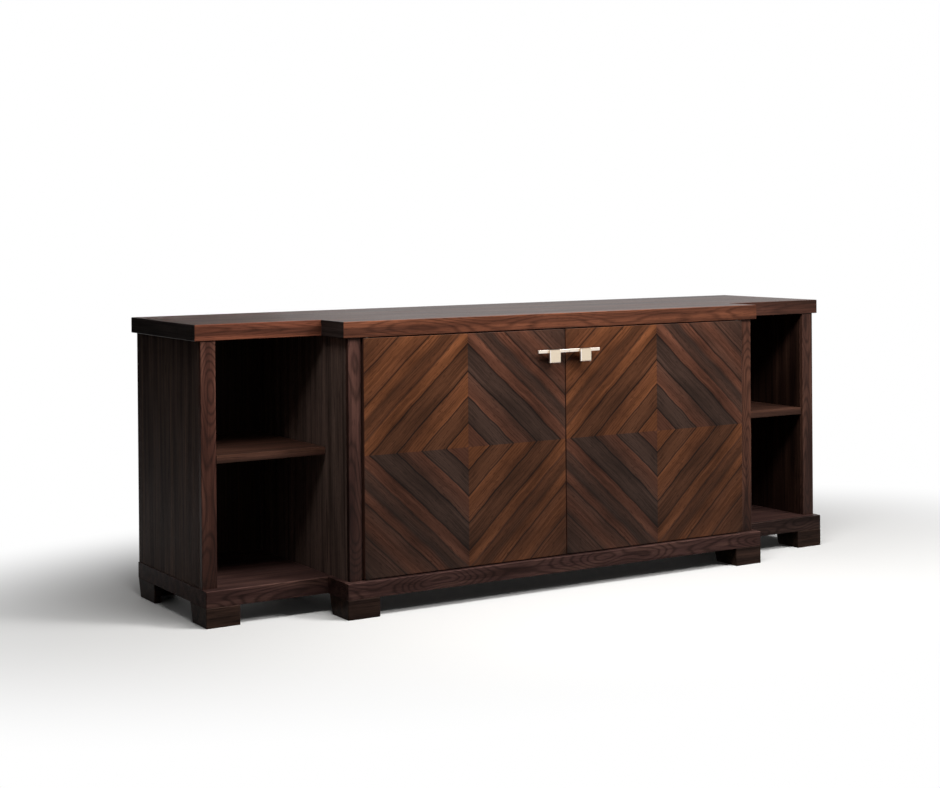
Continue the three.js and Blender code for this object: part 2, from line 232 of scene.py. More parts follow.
# Grain: each seed moves a finish to its own part of the noise
grainSet = {"seedStep": (3.17, 7.31, 5.53), "roughness": 0.55}


def grainNoise(tree, vector, along, size, seed, detail):
    # Noise drawn out along one axis, as wood grain is; size is its length along and across it, in mm
    scale = tuple(1 / (size[0 if axis == along else 1] * mm) for axis in "XYZ")
    moved = tuple(seed * step for step in grainSet["seedStep"])
    place = addNode(tree, "ShaderNodeMapping", values={"Location": moved, "Scale": scale},
                    links={"Vector": vector})
    noise = addNode(tree, "ShaderNodeTexNoise",
                    values={"Scale": 1.0, "Detail": detail, "Roughness": grainSet["roughness"]},
                    links={"Vector": place.outputs[0]})
    return noise.outputs["Fac"]


# Satin lacquer over solid wood and veneer: which part of each noise shows, how the sheen follows the
# streaks, and how deep the relief is in millimetres
lacquerSet = {"noiseSpan": (0.3, 0.7), "poreSpan": (0.58, 0.7), "streakDetail": 3.0, "poreDetail": 1.0,
              "cloudDetail": 1.0, "cloudSeed": 0.5, "duller": 0.07, "shinier": 0.05, "relief": 0.4}


def woodFinish(tree, figure, vector, along, seed, s):
    # Streaks, clouds and pores shade the figure, pores are shallow pits, and arrises get a painted
    # highlight
    k = lacquerSet
    noiseLow, noiseHigh = k["noiseSpan"]
    poreLow, poreHigh = k["poreSpan"]
    streakDark, streakLight = s["streakRange"]
    cloudDark, cloudLight = s["cloudRange"]
    streak = grainNoise(tree, vector, along, s["streak"], seed, k["streakDetail"])
    pore = grainNoise(tree, vector, along, s["pore"], seed, k["poreDetail"])
    cloud = grainNoise(tree, vector, along, s["cloud"], seed + k["cloudSeed"], k["cloudDetail"])
    shade = addNode(tree, "ShaderNodeMapRange",
                    values={"From Min": noiseLow, "From Max": noiseHigh,
                            "To Min": streakDark, "To Max": streakLight}, links={"Value": streak})
    clouded = addNode(tree, "ShaderNodeMapRange",
                      values={"From Min": noiseLow, "From Max": noiseHigh,
                              "To Min": cloudDark, "To Max": cloudLight}, links={"Value": cloud})
    pit = addNode(tree, "ShaderNodeMapRange", values={"From Min": poreLow, "From Max": poreHigh},
                  links={"Value": pore})
    pitShade = addNode(tree, "ShaderNodeMapRange", values={"To Min": 1.0, "To Max": s["poreShade"]},
                       links={"Value": pit.outputs[0]})
    arris = addNode(tree, "ShaderNodeAttribute", {"attribute_name": "arris"})
    arrisHighlight = addNode(tree, "ShaderNodeMapRange", values={"To Min": 1.0, "To Max": s["arrisHighlight"]},
                     links={"Value": arris.outputs["Fac"]})
    grainAndHighlight = addNode(tree, "ShaderNodeMath", {"operation": "MULTIPLY"},
                   links={0: pitShade.outputs[0], 1: arrisHighlight.outputs[0]})
    toneAndHighlight = addNode(tree, "ShaderNodeMath", {"operation": "MULTIPLY"},
                  links={0: shade.outputs[0], 1: grainAndHighlight.outputs[0]})
    level = addNode(tree, "ShaderNodeMath", {"operation": "MULTIPLY"},
                    links={0: toneAndHighlight.outputs[0], 1: clouded.outputs[0]})
    colour = addNode(tree, "ShaderNodeVectorMath", {"operation": "SCALE"},
                     links={0: figure, "Scale": level.outputs[0]})
    height = addNode(tree, "ShaderNodeMath", {"operation": "SUBTRACT"},
                     links={0: shade.outputs[0], 1: pit.outputs[0]})
    bump = addNode(tree, "ShaderNodeBump", values={"Strength": s["bump"], "Distance": k["relief"] * mm},
                   links={"Height": height.outputs[0]})
    dull = addNode(tree, "ShaderNodeMapRange",
                   values={"From Min": noiseLow, "From Max": noiseHigh,
                           "To Min": s["roughness"] + k["duller"],
                           "To Max": s["roughness"] - k["shinier"]},
                   links={"Value": streak})
    lacquer = addNode(tree, "ShaderNodeBsdfPrincipled", values={"Specular IOR Level": s["specular"]},
                      links={"Base Color": colour.outputs[0], "Roughness": dull.outputs[0],
                             "Normal": bump.outputs[0]})
    addNode(tree, "ShaderNodeOutputMaterial", links={"Surface": lacquer.outputs[0]})


def paintShade(tree, colour, vector, s):  # painted shade: the colour turns towards a dark brown, down or along the piece
    start, stop = np.array(s["paintedShadeReach"]) * mm
    axes = addNode(tree, "ShaderNodeSeparateXYZ", links={"Vector": vector})
    darker = addNode(tree, "ShaderNodeMapRange",
                     values={"From Min": start, "From Max": stop, "To Max": s["paintedShadeShare"]},
                     links={"Value": axes.outputs[s["paintedShadeAxis"]]})
    mixed = addNode(tree, "ShaderNodeMix", {"data_type": "RGBA"}, {mixSecond: linear(s["paintedShade"])},
                    {mixShare: darker.outputs[0], mixFirst: colour})
    return mixed.outputs[mixResult]


def innerShade(tree, colour, vector, s):  # painted shade: every face of a standing panel but its outer one is darker, for the shade inside the bays and cabinet
    axes = addNode(tree, "ShaderNodeSeparateXYZ", links={"Vector": vector})
    out = addNode(tree, "ShaderNodeMath", {"operation": "ABSOLUTE"}, links={0: axes.outputs["X"]})
    outer = addNode(tree, "ShaderNodeMath", {"operation": "GREATER_THAN"}, {1: s["outerFace"]},
                    {0: out.outputs[0]})
    share = addNode(tree, "ShaderNodeMapRange", values={"To Min": s["innerShade"], "To Max": 1.0},
                    links={"Value": outer.outputs[0]})
    shaded = addNode(tree, "ShaderNodeVectorMath", {"operation": "SCALE"},
                     links={0: colour, "Scale": share.outputs[0]})
    return shaded.outputs[0]


def ringNumber(tree, vector, waver, s):
    # Growth rings of a flat-sawn board, which make its arched figure: the distance from a heart that lies
    # behind the front face and wanders across it, divided by the spacing of the rings
    low, high = corners(s["board"])
    middle = (low + high)["XYZ".index(s["across"])] / 2
    shallow, deep = low[1] + np.array(s["heartDepth"]) * mm
    noiseLow, noiseHigh = lacquerSet["noiseSpan"]
    sunk = grainNoise(tree, vector, s["along"], s["heartWave"], s["seed"] + s["depthSeed"],
                      s["waveDetail"])
    strayed = grainNoise(tree, vector, s["along"], s["heartWave"], s["seed"] + s["wanderSeed"],
                         s["waveDetail"])
    heartDepth = addNode(tree, "ShaderNodeMapRange",
                         values={"From Min": noiseLow, "From Max": noiseHigh,
                                 "To Min": shallow, "To Max": deep},
                         links={"Value": sunk})
    heartAcross = addNode(tree, "ShaderNodeMapRange",
                          values={"From Min": noiseLow, "From Max": noiseHigh,
                                  "To Min": middle - s["heartWander"] * mm,
                                  "To Max": middle + s["heartWander"] * mm},
                          links={"Value": strayed})
    axes = addNode(tree, "ShaderNodeSeparateXYZ", links={"Vector": vector})
    across = addNode(tree, "ShaderNodeMath", {"operation": "SUBTRACT"},
                     links={0: axes.outputs[s["across"]], 1: heartAcross.outputs[0]})
    behind = addNode(tree, "ShaderNodeMath", {"operation": "SUBTRACT"},
                     links={0: axes.outputs["Y"], 1: heartDepth.outputs[0]})
    arm = addNode(tree, "ShaderNodeCombineXYZ", links={"X": across.outputs[0], "Y": behind.outputs[0]})
    away = addNode(tree, "ShaderNodeVectorMath", {"operation": "LENGTH"}, links={0: arm.outputs[0]})
    count = addNode(tree, "ShaderNodeMath", {"operation": "DIVIDE"}, {1: s["ringSpacing"] * mm},
                    {0: away.outputs["Value"]})
    wavered = addNode(tree, "ShaderNodeMath", {"operation": "MULTIPLY_ADD"}, {1: s["ringWaver"]},
                      {0: waver, 2: count.outputs[0]})
    return wavered.outputs[0]


# Lacquered walnut: long straight grain with wide bands, fine streaks, thin vein lines or arched rings,
# and open pores. Sizes are real millimetres, along and across the grain; the pores are drawn too wide so
# that they show.
walnutSet = {"along": "X", "seed": 1.0, "deep": "#311f1a", "mid": "#483029", "light": "#624237",
             "vein": "#1c120f", "toneSpots": (0.34, 0.5, 0.66), "band": (700, 18), "bandDetail": 2.0,
             "cloud": (220, 50), "cloudRange": (0.8, 1.2), "streak": (260, 3.2),
             "streakRange": (0.7, 1.3), "pore": (26, 1.6), "poreShade": 0.62, "veins": 5.0,
             "veinFold": 0.5, "veinWidth": 0.1, "veinDepth": 0.6, "arrisHighlight": 1.3, "roughness": 0.36,
             "specular": 0.06, "bump": 0.12}


def walnut(name, tone):
    s = {**walnutSet, **tone}
    material, tree = newMaterial(name)
    vector = addNode(tree, "ShaderNodeTexCoord").outputs["Object"]
    band = grainNoise(tree, vector, s["along"], s["band"], s["seed"], s["bandDetail"])
    figure = addNode(tree, "ShaderNodeValToRGB", links={"Fac": band})
    first, middle, last = s["toneSpots"]
    stops = figure.color_ramp.elements
    stops[0].position = first
    stops[1].position = last
    stops[0].color = linear(s["deep"])
    stops[1].color = linear(s["light"])
    stops.new(middle).color = linear(s["mid"])
    # Veins are the rings of an arched board, or else contour lines of the bands: their number is folded to
    # and fro by half turns, with a line where a fold is back at nought
    if "board" in s:
        turns = ringNumber(tree, vector, band, s)
    else:
        contour = addNode(tree, "ShaderNodeMath", {"operation": "MULTIPLY"}, {1: s["veins"]}, {0: band})
        turns = contour.outputs[0]
    fold = addNode(tree, "ShaderNodeMath", {"operation": "PINGPONG"}, {1: s["veinFold"]}, {0: turns})
    line = addNode(tree, "ShaderNodeMapRange", {"interpolation_type": "SMOOTHSTEP"},
                   {"From Max": s["veinWidth"], "To Min": s["veinDepth"], "To Max": 0.0},
                   {"Value": fold.outputs[0]})
    veined = addNode(tree, "ShaderNodeMix", {"data_type": "RGBA"}, {mixSecond: linear(s["vein"])},
                     {mixShare: line.outputs[0], mixFirst: figure.outputs["Color"]})
    colour = veined.outputs[mixResult]
    # painted shade, darker down the piece or along it
    if "paintedShade" in s:
        colour = paintShade(tree, colour, vector, s)
    if "outerFace" in s:
        colour = innerShade(tree, colour, vector, s)
    woodFinish(tree, colour, vector, s["along"], s["seed"], s)
    return material


# Diamond-matched walnut veneer: four leaves folded about the door's middle, so that the slanting stripes
# close into diamonds. Stripes are places across the grain from the middle, in millimetres. Two of the
# leaves are turned over, and the way they take the light is painted in as a cooler, darker palette; all
# four have painted shade darkening them towards the floor.
veneerSet = {"lean": 43.0, "rise": 8.0, "reach": 450.0, "warp": (420, 9), "ripple": (75, 4.0),
             "bendDetail": 1.5, "seed": 3.0,
             "warm": {"light": "#6d4128", "mid": "#5b3622", "dusk": "#4f301f", "faint": "#3a2318",
                      "vein": "#1a100b"},
             # palette of the turned leaves, with their darker take of the light painted in
             "cool": {"light": "#5b382a", "mid": "#483026", "dusk": "#3a2a23", "faint": "#2d201a",
                      "vein": "#17100d"},
             "stripes": ((0, "light"), (44, "light"), (45.3, "vein"), (47.3, "vein"), (48.6, "dusk"),
                         (95, "dusk"), (96.5, "vein"), (98.3, "faint"), (100, "light"), (146, "mid"),
                         (147.5, "vein"), (149.5, "vein"), (151, "dusk"), (200, "dusk"), (201.3, "vein"),
                         (203.3, "vein"), (204.6, "light"), (232, "light"), (238, "faint"), (243, "mid"),
                         (270, "dusk"), (284, "light"), (300, "light"), (301.3, "vein"), (303.3, "vein"),
                         (304.6, "mid"), (344, "light"), (363, "mid"), (364.3, "vein"), (366.3, "vein"),
                         (367.6, "mid"), (450, "dusk")),
             "paintedShade": "#29221f", "paintedShadeShare": 0.4, "paintedShadeAxis": "Z", "paintedShadeReach": (200.0, -330.0),
             "cloud": (190, 42), "cloudRange": (0.58, 1.4), "streak": (170, 3.2),
             "streakRange": (0.62, 1.38), "pore": (20, 1.9), "poreShade": 0.55, "arrisHighlight": 1.2,
             "roughness": 0.34, "specular": 0.06, "bump": 0.1}


def stripeRamp(tree, share, palette):
    ramp = addNode(tree, "ShaderNodeValToRGB", links={"Fac": share})
    stripes = veneerSet["stripes"]
    stops = ramp.color_ramp.elements
    stops[0].color = linear(palette[stripes[0][1]])
    stops[1].color = linear(palette[stripes[-1][1]])
    for place, tone in stripes[1:-1]:
        stops.new(place / veneerSet["reach"]).color = linear(palette[tone])
    return ramp.outputs["Color"]


def bentBy(tree, vector, across, size, amount):  # stripes stray sideways by a noise of this size, in mm
    noise = addNode(tree, "ShaderNodeTexNoise",
                    values={"Scale": 1 / (size * mm), "Detail": veneerSet["bendDetail"]},
                    links={"Vector": vector})
    shift = addNode(tree, "ShaderNodeMapRange", values={"To Min": -amount * mm, "To Max": amount * mm},
                    links={"Value": noise.outputs["Fac"]})
    bent = addNode(tree, "ShaderNodeMath", {"operation": "ADD"}, links={0: across, 1: shift.outputs[0]})
    return bent.outputs[0]


def diamondVeneer(name, middle):
    s = veneerSet
    material, tree = newMaterial(name)
    coord = addNode(tree, "ShaderNodeTexCoord")
    local = addNode(tree, "ShaderNodeVectorMath", {"operation": "SUBTRACT"}, {1: middle},
                    {0: coord.outputs["Object"]})
    folded = addNode(tree, "ShaderNodeVectorMath", {"operation": "ABSOLUTE"}, links={0: local.outputs[0]})
    sine = math.sin(math.radians(s["lean"]))
    cosine = math.cos(math.radians(s["lean"]))
    across = addNode(tree, "ShaderNodeVectorMath", {"operation": "DOT_PRODUCT"}, {1: (sine, 0, cosine)},
                     {0: folded.outputs[0]})
    along = addNode(tree, "ShaderNodeVectorMath", {"operation": "DOT_PRODUCT"}, {1: (cosine, 0, -sine)},
                    {0: folded.outputs[0]})
    bent = bentBy(tree, local.outputs[0], across.outputs["Value"], *s["warp"])
    bent = bentBy(tree, local.outputs[0], bent, *s["ripple"])
    reached = addNode(tree, "ShaderNodeMath", {"operation": "DIVIDE"}, {1: s["reach"] * mm}, {0: bent})
    share = reached.outputs[0]
    # The leaves where X and Z have the same sign are the turned ones
    axes = addNode(tree, "ShaderNodeSeparateXYZ", links={"Vector": local.outputs[0]})
    sign = addNode(tree, "ShaderNodeMath", {"operation": "MULTIPLY"},
                   links={0: axes.outputs["X"], 1: axes.outputs["Z"]})
    turnedOver = addNode(tree, "ShaderNodeMath", {"operation": "GREATER_THAN"}, {1: 0.0},
                         {0: sign.outputs[0]})
    leaf = addNode(tree, "ShaderNodeMix", {"data_type": "RGBA"},
                   links={mixShare: turnedOver.outputs[0], mixFirst: stripeRamp(tree, share, s["warm"]),
                          mixSecond: stripeRamp(tree, share, s["cool"])})
    # painted shade darkens the leaves towards the floor
    colour = paintShade(tree, leaf.outputs[mixResult], local.outputs[0], s)
    grain = addNode(tree, "ShaderNodeCombineXYZ", links={"X": along.outputs["Value"], "Y": bent})
    woodFinish(tree, colour, grain.outputs[0], "X", s["seed"], s)
    return material


# Satin nickel plate: warm pale metal with faint lines from the buffing wheel, and a painted highlight on
# the arrises
nickelSet = {"colour": "#e6d8c9", "bright": "#fbf1e8", "mottle": 0.1, "roughness": 0.3, "shinier": 0.05,
             "duller": 0.07, "grain": (40, 0.7), "grainDetail": 3.0, "seed": 1.0, "noiseSpan": (0.3, 0.7),
             "bump": 0.06, "relief": 0.2}
# Brushed nickel on the tabs' faces: the same plate, a little yellower and duller
brushedSet = {**nickelSet, "colour": "#d8c8b1", "roughness": 0.34, "grain": (60, 0.9)}
# Darkened steel on the hinges, wires and screws: brown black, a little blotchy
steelSet = {**nickelSet, "colour": "#564d45", "bright": "#7d7268", "mottle": 0.3, "roughness": 0.42,
            "grain": (6, 5), "bump": 0.05}


def plated(name, s):
    material, tree = newMaterial(name)
    vector = addNode(tree, "ShaderNodeTexCoord").outputs["Object"]
    line = grainNoise(tree, vector, "X", s["grain"], s["seed"], s["grainDetail"])
    noiseLow, noiseHigh = s["noiseSpan"]
    dull = addNode(tree, "ShaderNodeMapRange",
                   values={"From Min": noiseLow, "From Max": noiseHigh,
                           "To Min": s["roughness"] - s["shinier"],
                           "To Max": s["roughness"] + s["duller"]},
                   links={"Value": line})
    bump = addNode(tree, "ShaderNodeBump", values={"Strength": s["bump"], "Distance": s["relief"] * mm},
                   links={"Height": line})
    arris = addNode(tree, "ShaderNodeAttribute", {"attribute_name": "arris"})
    # painted highlight: the bevel and arris rings, with faint buffing lines, turn the colour towards
    # bright
    glint = addNode(tree, "ShaderNodeMath", {"operation": "MULTIPLY_ADD", "use_clamp": True},
                    {1: s["mottle"]}, {0: line, 2: arris.outputs["Fac"]})
    grainAndHighlight = addNode(tree, "ShaderNodeMix", {"data_type": "RGBA"},
                   {mixFirst: linear(s["colour"]), mixSecond: linear(s["bright"])},
                   {mixShare: glint.outputs[0]})
    metal = addNode(tree, "ShaderNodeBsdfPrincipled", values={"Metallic": 1.0},
                    links={"Base Color": grainAndHighlight.outputs[mixResult], "Roughness": dull.outputs[0],
                           "Normal": bump.outputs[0]})
    addNode(tree, "ShaderNodeOutputMaterial", links={"Surface": metal.outputs[0]})
    return material


# Moulded brown plastic on the catches: fine even grain from the mould
plasticSet = {"colour": "#3b2a22", "grain": (0.8, 0.8), "grainDetail": 2.0, "seed": 1.0, "roughness": 0.5,
              "bump": 0.1, "relief": 0.2}


def mouldedPlastic(name, s):
    material, tree = newMaterial(name)
    vector = addNode(tree, "ShaderNodeTexCoord").outputs["Object"]
    grain = grainNoise(tree, vector, "X", s["grain"], s["seed"], s["grainDetail"])
    bump = addNode(tree, "ShaderNodeBump", values={"Strength": s["bump"], "Distance": s["relief"] * mm},
                   links={"Height": grain})
    shader = addNode(tree, "ShaderNodeBsdfPrincipled",
                     values={"Base Color": linear(s["colour"]), "Roughness": s["roughness"]},
                     links={"Normal": bump.outputs[0]})
    addNode(tree, "ShaderNodeOutputMaterial", links={"Surface": shader.outputs[0]})
    return material


nickel = plated("satinNickel", nickelSet)
brushedNickel = plated("brushedNickel", brushedSet)
darkSteel = plated("darkenedSteel", steelSet)
brownPlastic = mouldedPlastic("mouldedPlastic", plasticSet)
print("metals and plastic made")

# Arched boards, flat-sawn: how far apart the rings are, how deep their heart lies behind the face, how far
# it wanders across the board and over what length, in millimetres
arched = {"across": "Z", "ringSpacing": 4.6, "ringWaver": 1.5, "heartDepth": (3.0, 60.0),
          "heartWander": 18.0, "waveDetail": 1.0, "depthSeed": 0.3, "wanderSeed": 0.7, "veinWidth": 0.32,
          "veinDepth": 0.55, "streakRange": (0.78, 1.22)}
# Walnut of each piece, some with painted shade; a tone leaves out what it shares with walnutSet
wingEdgeTone = {**arched, "heartWave": (1000, 4000), "veinDepth": 0.42, "streakRange": (0.75, 1.25)}
# The centre top edge has painted shade, darker towards its right end
edgeTone = {**wingEdgeTone, "board": "top_centre_lipping", "heartWave": (650, 4000), "veinDepth": 0.5,
            "seed": 1.0, "deep": "#4f2f23", "mid": "#6c402e", "light": "#87523b", "vein": "#2a1711",
            "paintedShade": "#3a2218", "paintedShadeShare": 0.42, "paintedShadeAxis": "X", "paintedShadeReach": (-150.0, 250.0)}
leftEdgeTone = {**wingEdgeTone, "board": "top_left_wing_lipping", "seed": 1.6, "deep": "#523024",
                "mid": "#714231", "light": "#8c533d", "vein": "#2c1811"}
# Painted light: the left end's lippings are greyer and lighter than the right's, for the cool light on
# that shaded end
leftDeepPaintedLightTone = {"along": "Y", "seed": 2.0, "deep": "#2e2826", "mid": "#3e3633", "light": "#504642",
                "vein": "#211c1a"}
rightDeepTone = {"along": "Y", "seed": 2.4, "deep": "#37231b", "mid": "#4a2e25", "light": "#5e3c2f",
                 "vein": "#23150f"}
rightEdgeTone = {**rightDeepTone, **wingEdgeTone, "along": "X", "board": "top_right_wing_lipping",
                 "seed": 1.7}
# Plinth and feet carry a stronger painted highlight on their eased arrises
plinthTone = {**arched, "ringSpacing": 6.0, "heartWave": (300, 4000), "seed": 3.0, "deep": "#3a2824",
              "mid": "#4a3430", "light": "#5c423b", "vein": "#171110", "band": (300, 26),
              "cloudRange": (0.9, 1.1), "specular": 0.02, "arrisHighlight": 1.9}
plinthTones = {"centre": {}, "left_wing": {},
               "right_wing": {"seed": 3.4, "deep": "#281e1b", "mid": "#332623", "light": "#40302b",
                              "vein": "#150f0e"}}
# Stiles have painted shade, darker towards the floor
stileTone = {**arched, "along": "Z", "across": "X", "heartWave": (380, 4000), "band": (420, 28),
             "paintedShade": "#1c1716", "paintedShadeShare": 0.55, "paintedShadeAxis": "Z", "paintedShadeReach": (470.0, 90.0)}
stileTones = {"left_end": {"seed": 4.0, "deep": "#3d241d", "mid": "#52332a", "light": "#694539"},
              "left_door": {"seed": 4.2, "deep": "#34201c", "mid": "#462e28", "light": "#593c34"},
              "right_door": {"seed": 4.4, "deep": "#39241b", "mid": "#513328", "light": "#6b4536"},
              "right_end": {"seed": 4.6, "deep": "#38231d", "mid": "#51362d", "light": "#6b493c"}}
doorBackTone = {"along": "Z", "seed": 4.9}
# Painted light: the left end panel is greyer and lighter than the right one, and the left partition's
# outer face paler still, for the cool light on the shaded left side
leftEndPaintedLightTone = {"along": "Z", "seed": 5.5, "deep": "#4e3d37", "mid": "#614f48", "light": "#786156",
               "vein": "#392c26", "band": (900, 26), "roughness": 0.45, "specular": 0.015,
               "innerShade": 0.2}
rightEndTone = {**leftEndPaintedLightTone, "deep": "#432d26", "mid": "#553b31", "light": "#6a4a3d",
                "vein": "#30201a", "innerShade": 0.3}
leftPartitionPaintedLightTone = {**leftEndPaintedLightTone, "seed": 5.0, "deep": "#635149", "mid": "#745f56",
                     "light": "#866e63", "vein": "#42312a", "innerShade": 0.26}
rightPartitionTone = {**rightEndTone, "seed": 5.0, "innerShade": 0.5}
topTone = {"seed": 6.0, "deep": "#241711", "mid": "#3a241b", "light": "#4d3126", "vein": "#1a100c",
           "band": (900, 26), "roughness": 0.34, "specular": 0.03}
shelfTone = {"seed": 7.0, "deep": "#33221b", "mid": "#472f26", "light": "#5b3d31", "roughness": 0.42}
innerTone = {"along": "Z", "seed": 8.0, "deep": "#1f1410", "mid": "#2c1e18", "light": "#39271f",
             "roughness": 0.45}
footTone = {"seed": 9.0, "deep": "#261b17", "mid": "#342620", "light": "#423029", "vein": "#191210",
            "band": (300, 22), "specular": 0.03, "arrisHighlight": 2.0}
paintedShadeInset = 0.6  # mm in from the outer face of an end or partition, where its painted shade begins


def outerFace(node):  # how far out from the credenza's middle the painted shade of a right-hand panel reaches, just inside its outer face
    return corners(node)[1][0] - paintedShadeInset * mm


# Finishes; a letter at the end of a name is the axis of the grain, and deep edges run from front to back
edgeX = walnut("walnutEdgeAcross", edgeTone)
wingEdge = {"left": walnut("walnutEdgeLeftWing", leftEdgeTone),
            "right": walnut("walnutEdgeRightWing", rightEdgeTone)}
deepEdge = {"left": walnut("walnutEdgeLeftDeep", leftDeepPaintedLightTone),
            "right": walnut("walnutEdgeRightDeep", rightDeepTone)}
plinthX = {spot: walnut("walnutPlinth_" + spot, {**plinthTone, **tone, "board": f"base_{spot}_lipping"})
           for spot, tone in plinthTones.items()}
stileZ = {spot: walnut("walnutStile_" + spot, {**stileTone, **tone, "board": spot + "_stile"})
          for spot, tone in stileTones.items()}
backZ = walnut("walnutDoorBack", doorBackTone)
partitionFace = {"outerFace": outerFace("right_partition")}
partitionZ = {"left": walnut("walnutPartitionLeft", {**leftPartitionPaintedLightTone, **partitionFace}),
              "right": walnut("walnutPartitionRight", {**rightPartitionTone, **partitionFace})}
endFace = {"outerFace": outerFace("right_end_panel")}
endZ = {"left": walnut("walnutEndLeft", {**leftEndPaintedLightTone, **endFace}),
        "right": walnut("walnutEndRight", {**rightEndTone, **endFace})}
topX = walnut("walnutTop", topTone)
shelfX = walnut("walnutShelf", shelfTone)
innerZ = walnut("walnutInner", innerTone)
footX = walnut("walnutFoot", footTone)
print("walnut finishes made")

# Eased blocks: faces that meet at more than the crisp angle keep their edge, the corners of a plan are
# rounder than the arrises by the corner ratio, and the steps are the parts of each quarter arc
blockSet = {"crispAngle": 35.0, "cornerRatio": 1.25, "cornerSteps": 4, "arrisSteps": 3}


def skin(name, rings, arris=None):
    # Rings of equal length stacked in order, quads between them and a polygon on each end ring
    count, around = rings.shape[:2]
    here = np.arange(around)
    beside = np.roll(here, -1)
    row = np.arange(count - 1)[:, None] * around
    quads = np.stack([row + here, row + beside, row + around + beside, row + around + here], -1)
    faces = quads.reshape(-1, 4).tolist()
    faces += [here[::-1].tolist(), (here + (count - 1) * around).tolist()]
    mesh = bpy.data.meshes.new(name)
    mesh.from_pydata(rings.reshape(-1, 3).tolist(), [], faces)
    # the arris share is kept on the points, and the finishes paint a highlight with it
    if arris is not None:
        highlightMask = mesh.attributes.new("arris", "FLOAT", "POINT")
        highlightMask.data.foreach_set("value", np.ascontiguousarray(arris, np.float32).ravel())
    body = bmesh.new()
    body.from_mesh(mesh)
    bmesh.ops.recalc_face_normals(body, faces=body.faces)
    body.to_mesh(mesh)
    body.free()
    mesh.polygons.foreach_set("use_smooth", np.ones(len(mesh.polygons), bool))
    mesh.set_sharp_from_angle(angle=math.radians(blockSet["crispAngle"]))
    piece = bpy.data.objects.new(name, mesh)
    bpy.context.scene.collection.objects.link(piece)
    flatten = piece.modifiers.new("flatFaces", "WEIGHTED_NORMAL")
    flatten.keep_sharp = True
    return piece


def own(piece, material, body, slot, *replaced):
    piece.data.materials.append(material)
    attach(piece, body)
    if replaced:
        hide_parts(*replaced)


def roundCorners(plan, radius):
    # Square corners of a plan turned into arcs: corner + r (1 - cos t) b - r (1 - sin t) a, where a is
    # the direction into the corner, b the direction out of it, and t goes through a quarter turn
    p = np.array(plan, float)
    run = p - np.roll(p, 1, 0)
    a = run / np.linalg.norm(run, axis=1, keepdims=True)
    b = np.roll(a, -1, 0)
    t = np.linspace(0, math.pi / 2, blockSet["cornerSteps"] + 1)[None, :, None]
    arcs = p[:, None] + radius * (b[:, None] * (1 - np.cos(t)) - a[:, None] * (1 - np.sin(t)))
    return arcs.reshape(-1, 2)


def mitres(plan):
    # What each point of a plan moves by when its edges move inwards by 1: (n + m) / (1 + n . m) for the
    # inward normals n and m of its two edges
    edge = np.roll(plan, -1, 0) - plan
    unit = edge / np.linalg.norm(edge, axis=1, keepdims=True)
    normal = np.stack([-unit[:, 1], unit[:, 0]], 1)
    before = np.roll(normal, 1, 0)
    return (normal + before) / (1 + (normal * before).sum(1, keepdims=True))


def easedRings(plan, low, high, ease):
    # A plan carried up a profile whose ends are quarter arcs: inset e (1 - sin t) at height e (1 - cos t)
    t = np.linspace(0, math.pi / 2, blockSet["arrisSteps"] + 1)
    drawn = ease * (1 - np.sin(t))
    rise = ease * (1 - np.cos(t))
    depth = np.concatenate([drawn, drawn[::-1]])[:, None, None]
    level = np.concatenate([low + rise, high - rise[::-1]])[:, None, None]
    flat = plan + mitres(plan) * depth
    rings = np.concatenate([flat, np.broadcast_to(level, (*flat.shape[:2], 1))], -1)
    # painted highlight mask, highest at the middle of each arris arc
    highlightMask = np.concatenate([np.sin(2 * t), np.sin(2 * t)[::-1]])
    return rings, np.repeat(highlightMask, len(plan))


def rectangle(low, high):
    return [(low[0], low[1]), (high[0], low[1]), (high[0], high[1]), (low[0], high[1])]


def easedBlock(name, low, high, ease, corner=None):
    # Rounded-edge block between two corners, its plan lying flat
    plan = roundCorners(rectangle(low, high), corner or ease * blockSet["cornerRatio"])
    rings, highlightMask = easedRings(plan, low[2], high[2], ease)
    return skin(name, rings, highlightMask)


def facingBlock(name, low, high, ease):
    # Rounded-edge block whose plan stands up and faces the front: plan in X and Z, height towards -Y
    front = rectangle((low[0], low[2]), (high[0], high[2]))
    rings, highlightMask = easedRings(roundCorners(front, ease * blockSet["cornerRatio"]), -high[1], -low[1], ease)
    facing = np.stack([rings[..., 0], -rings[..., 2], rings[..., 1]], -1)
    return skin(name, facing, highlightMask)


# Top edges: solid lippings with an eased outer arris, mitred where they meet
lippingSet = {"ease": 1.6, "steps": 4}


def depthOf(outer, inner):  # how deep the lipping is, square to its outer edge
    run = outer[1] - outer[0]
    unit = run / np.linalg.norm(run)
    step = inner[0] - outer[0]
    return abs(unit[0] * step[1] - unit[1] * step[0])


def lipping(node, outer, inner, material):
    # A section with two eased outer corners carried from one mitred end to the other: at each end, a
    # point that is some share of the depth behind the outer edge is at that share of the mitre line
    low, high = corners(node)
    depth = depthOf(outer, inner)
    ease = lippingSet["ease"] * mm
    t = np.linspace(0, math.pi / 2, lippingSet["steps"] + 1)
    lower = np.column_stack([ease * (1 - np.sin(t)), low[2] + ease * (1 - np.cos(t))])
    upper = np.column_stack([ease * (1 - np.cos(t)), high[2] - ease * (1 - np.sin(t))])
    section = np.concatenate([lower, upper, [[depth, high[2]], [depth, low[2]]]])
    share = section[:, :1] / depth
    flat = outer[:, None] + share * (inner - outer)[:, None]
    rings = np.concatenate([flat, np.broadcast_to(section[:, 1:], (*flat.shape[:2], 1))], -1)
    # painted highlight mask on the two eased arrises
    highlightMask = np.concatenate([np.sin(2 * t), np.sin(2 * t), [0, 0]])
    piece = skin(node + "_eased", rings, np.tile(highlightMask, len(rings)))
    own(piece, material, "carcass", "edge_walnut", node)


